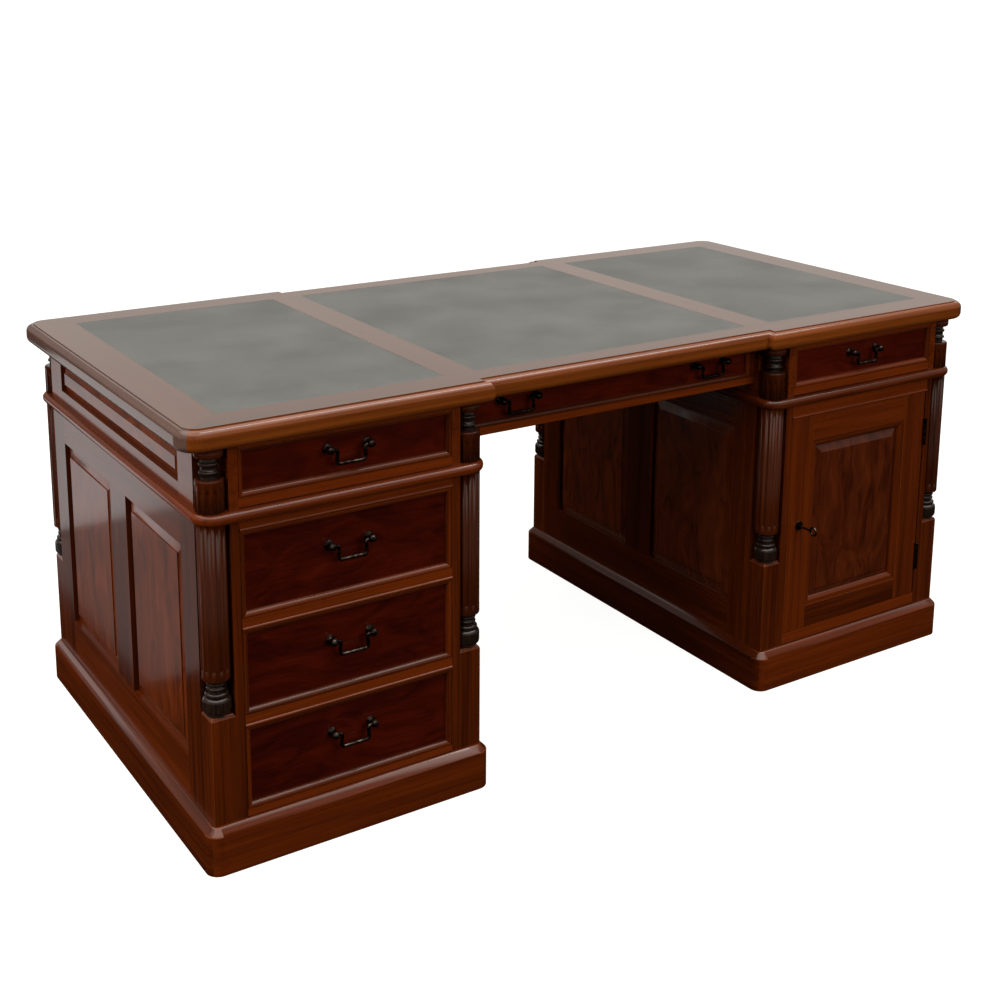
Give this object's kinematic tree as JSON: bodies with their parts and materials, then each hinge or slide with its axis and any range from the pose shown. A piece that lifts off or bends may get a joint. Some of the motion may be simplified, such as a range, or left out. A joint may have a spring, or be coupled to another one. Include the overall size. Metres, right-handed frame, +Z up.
{
  "type": "partners desk",
  "caption": "Mahogany partners desk with leather writing top, frieze and pedestal drawers, panelled cupboard doors, fluted corner columns and bronze bail handles.",
  "frame": {"origin": "centre of the desk's footprint on the floor", "axes": "+X along the desk's length, +Y from the front sitter towards the one facing them, +Z up"},
  "size_m": [1.812, 0.9484, 0.7785],
  "materials": {
    "mahogany": "polished gloss",
    "lining": "satin",
    "leather": "satin",
    "bronze": "dark patina"
  },
  "bodies": {
    "carcass": {"top_border": "mahogany", "top_core_board": "lining", "leather_panels": "leather", "frieze_frame": "mahogany", "pedestal_caps": "mahogany", "pedestal_frames": "mahogany", "raised_panels": "mahogany", "inner_boards": "lining", "drawer_runners": "lining", "cupboard_shelves": "lining", "corner_columns": "mahogany", "column_blocks": "mahogany", "plinths": "mahogany", "hinge_fixed_leaves": "bronze"},
    "front_left_frieze_drawer": {"front_left_frieze_drawer": "mahogany", "front_left_frieze_posts": "bronze"},
    "front_left_frieze_bail": {"front_left_frieze_bail": "bronze"},
    "front_centre_frieze_drawer": {"front_centre_frieze_drawer": "mahogany", "front_centre_frieze_posts": "bronze"},
    "front_centre_frieze_left_bail": {"front_centre_frieze_left_bail": "bronze"},
    "front_centre_frieze_right_bail": {"front_centre_frieze_right_bail": "bronze"},
    "front_right_frieze_drawer": {"front_right_frieze_drawer": "mahogany", "front_right_frieze_posts": "bronze"},
    "front_right_frieze_bail": {"front_right_frieze_bail": "bronze"},
    "front_lower_drawer": {"front_lower_drawer": "mahogany", "front_lower_posts": "bronze"},
    "front_lower_bail": {"front_lower_bail": "bronze"},
    "front_middle_drawer": {"front_middle_drawer": "mahogany", "front_middle_posts": "bronze"},
    "front_middle_bail": {"front_middle_bail": "bronze"},
    "front_upper_drawer": {"front_upper_drawer": "mahogany", "front_upper_posts": "bronze"},
    "front_upper_bail": {"front_upper_bail": "bronze"},
    "front_door": {"front_door": "mahogany", "front_door_fittings": "bronze"},
    "front_key": {"front_key": "bronze"},
    "front_lock_bolt": {"front_lock_bolt": "bronze"},
    "back_left_frieze_drawer": {"back_left_frieze_drawer": "mahogany", "back_left_frieze_posts": "bronze"},
    "back_left_frieze_bail": {"back_left_frieze_bail": "bronze"},
    "back_centre_frieze_drawer": {"back_centre_frieze_drawer": "mahogany", "back_centre_frieze_posts": "bronze"},
    "back_centre_frieze_left_bail": {"back_centre_frieze_left_bail": "bronze"},
    "back_centre_frieze_right_bail": {"back_centre_frieze_right_bail": "bronze"},
    "back_right_frieze_drawer": {"back_right_frieze_drawer": "mahogany", "back_right_frieze_posts": "bronze"},
    "back_right_frieze_bail": {"back_right_frieze_bail": "bronze"},
    "back_lower_drawer": {"back_lower_drawer": "mahogany", "back_lower_posts": "bronze"},
    "back_lower_bail": {"back_lower_bail": "bronze"},
    "back_middle_drawer": {"back_middle_drawer": "mahogany", "back_middle_posts": "bronze"},
    "back_middle_bail": {"back_middle_bail": "bronze"},
    "back_upper_drawer": {"back_upper_drawer": "mahogany", "back_upper_posts": "bronze"},
    "back_upper_bail": {"back_upper_bail": "bronze"},
    "back_door": {"back_door": "mahogany", "back_door_fittings": "bronze"},
    "back_key": {"back_key": "bronze"},
    "back_lock_bolt": {"back_lock_bolt": "bronze"}
  },
  "joints": [
    {"name": "front_left_frieze_drawer_slide", "type": "slide", "parent": "carcass", "child": "front_left_frieze_drawer", "axis": [0, -1, 0], "range_m": [0, 0.3]},
    {"name": "front_left_frieze_bail_swing", "type": "hinge", "parent": "front_left_frieze_drawer", "child": "front_left_frieze_bail", "pos_m": [-0.608, -0.429, 0.7035], "axis": [-1, 0, 0], "range_deg": [0, 90]},
    {"name": "front_centre_frieze_drawer_slide", "type": "slide", "parent": "carcass", "child": "front_centre_frieze_drawer", "axis": [0, -1, 0], "range_m": [0, 0.26]},
    {"name": "front_centre_frieze_left_bail_swing", "type": "hinge", "parent": "front_centre_frieze_drawer", "child": "front_centre_frieze_left_bail", "pos_m": [-0.23, -0.374, 0.7152], "axis": [-1, 0, 0], "range_deg": [0, 90]},
    {"name": "front_centre_frieze_right_bail_swing", "type": "hinge", "parent": "front_centre_frieze_drawer", "child": "front_centre_frieze_right_bail", "pos_m": [0.23, -0.374, 0.7152], "axis": [-1, 0, 0], "range_deg": [0, 90]},
    {"name": "front_right_frieze_drawer_slide", "type": "slide", "parent": "carcass", "child": "front_right_frieze_drawer", "axis": [0, -1, 0], "range_m": [0, 0.3]},
    {"name": "front_right_frieze_bail_swing", "type": "hinge", "parent": "front_right_frieze_drawer", "child": "front_right_frieze_bail", "pos_m": [0.608, -0.429, 0.7035], "axis": [-1, 0, 0], "range_deg": [0, 90]},
    {"name": "front_lower_drawer_slide", "type": "slide", "parent": "carcass", "child": "front_lower_drawer", "axis": [0, -1, 0], "range_m": [0, 0.3]},
    {"name": "front_lower_bail_swing", "type": "hinge", "parent": "front_lower_drawer", "child": "front_lower_bail", "pos_m": [-0.608, -0.429, 0.1905], "axis": [-1, 0, 0], "range_deg": [0, 90]},
    {"name": "front_middle_drawer_slide", "type": "slide", "parent": "carcass", "child": "front_middle_drawer", "axis": [0, -1, 0], "range_m": [0, 0.3]},
    {"name": "front_middle_bail_swing", "type": "hinge", "parent": "front_middle_drawer", "child": "front_middle_bail", "pos_m": [-0.608, -0.429, 0.3625], "axis": [-1, 0, 0], "range_deg": [0, 90]},
    {"name": "front_upper_drawer_slide", "type": "slide", "parent": "carcass", "child": "front_upper_drawer", "axis": [0, -1, 0], "range_m": [0, 0.3]},
    {"name": "front_upper_bail_swing", "type": "hinge", "parent": "front_upper_drawer", "child": "front_upper_bail", "pos_m": [-0.608, -0.429, 0.5345], "axis": [-1, 0, 0], "range_deg": [0, 90]},
    {"name": "front_door_hinge", "type": "hinge", "parent": "carcass", "child": "front_door", "pos_m": [0.8066, -0.4265, 0.3465], "axis": [0, 0, 1], "range_deg": [0, 110]},
    {"name": "front_key_turn", "type": "hinge", "parent": "front_door", "child": "front_key", "pos_m": [0.441, -0.422, 0.3465], "axis": [0, 1, 0], "range_deg": [0, 90]},
    {"name": "front_lock_bolt_throw", "type": "slide", "parent": "front_door", "child": "front_lock_bolt", "axis": [-1, 0, 0], "range_m": [0, 0.009]},
    {"name": "back_left_frieze_drawer_slide", "type": "slide", "parent": "carcass", "child": "back_left_frieze_drawer", "axis": [0, 1, 0], "range_m": [0, 0.3]},
    {"name": "back_left_frieze_bail_swing", "type": "hinge", "parent": "back_left_frieze_drawer", "child": "back_left_frieze_bail", "pos_m": [0.608, 0.429, 0.7035], "axis": [1, 0, 0], "range_deg": [0, 90]},
    {"name": "back_centre_frieze_drawer_slide", "type": "slide", "parent": "carcass", "child": "back_centre_frieze_drawer", "axis": [0, 1, 0], "range_m": [0, 0.26]},
    {"name": "back_centre_frieze_left_bail_swing", "type": "hinge", "parent": "back_centre_frieze_drawer", "child": "back_centre_frieze_left_bail", "pos_m": [0.23, 0.374, 0.7152], "axis": [1, 0, 0], "range_deg": [0, 90]},
    {"name": "back_centre_frieze_right_bail_swing", "type": "hinge", "parent": "back_centre_frieze_drawer", "child": "back_centre_frieze_right_bail", "pos_m": [-0.23, 0.374, 0.7152], "axis": [1, 0, 0], "range_deg": [0, 90]},
    {"name": "back_right_frieze_drawer_slide", "type": "slide", "parent": "carcass", "child": "back_right_frieze_drawer", "axis": [0, 1, 0], "range_m": [0, 0.3]},
    {"name": "back_right_frieze_bail_swing", "type": "hinge", "parent": "back_right_frieze_drawer", "child": "back_right_frieze_bail", "pos_m": [-0.608, 0.429, 0.7035], "axis": [1, 0, 0], "range_deg": [0, 90]},
    {"name": "back_lower_drawer_slide", "type": "slide", "parent": "carcass", "child": "back_lower_drawer", "axis": [0, 1, 0], "range_m": [0, 0.3]},
    {"name": "back_lower_bail_swing", "type": "hinge", "parent": "back_lower_drawer", "child": "back_lower_bail", "pos_m": [0.608, 0.429, 0.1905], "axis": [1, 0, 0], "range_deg": [0, 90]},
    {"name": "back_middle_drawer_slide", "type": "slide", "parent": "carcass", "child": "back_middle_drawer", "axis": [0, 1, 0], "range_m": [0, 0.3]},
    {"name": "back_middle_bail_swing", "type": "hinge", "parent": "back_middle_drawer", "child": "back_middle_bail", "pos_m": [0.608, 0.429, 0.3625], "axis": [1, 0, 0], "range_deg": [0, 90]},
    {"name": "back_upper_drawer_slide", "type": "slide", "parent": "carcass", "child": "back_upper_drawer", "axis": [0, 1, 0], "range_m": [0, 0.3]},
    {"name": "back_upper_bail_swing", "type": "hinge", "parent": "back_upper_drawer", "child": "back_upper_bail", "pos_m": [0.608, 0.429, 0.5345], "axis": [1, 0, 0], "range_deg": [0, 90]},
    {"name": "back_door_hinge", "type": "hinge", "parent": "carcass", "child": "back_door", "pos_m": [-0.8066, 0.4265, 0.3465], "axis": [0, 0, 1], "range_deg": [0, 110]},
    {"name": "back_key_turn", "type": "hinge", "parent": "back_door", "child": "back_key", "pos_m": [-0.441, 0.422, 0.3465], "axis": [0, -1, 0], "range_deg": [0, 90]},
    {"name": "back_lock_bolt_throw", "type": "slide", "parent": "back_door", "child": "back_lock_bolt", "axis": [1, 0, 0], "range_m": [0, 0.009]}
  ],
  "couplings": [
    {"joint": "front_key_turn", "follows": "front_lock_bolt_throw", "rad_per_m": 174.5},
    {"joint": "back_key_turn", "follows": "back_lock_bolt_throw", "rad_per_m": 174.5}
  ]
}
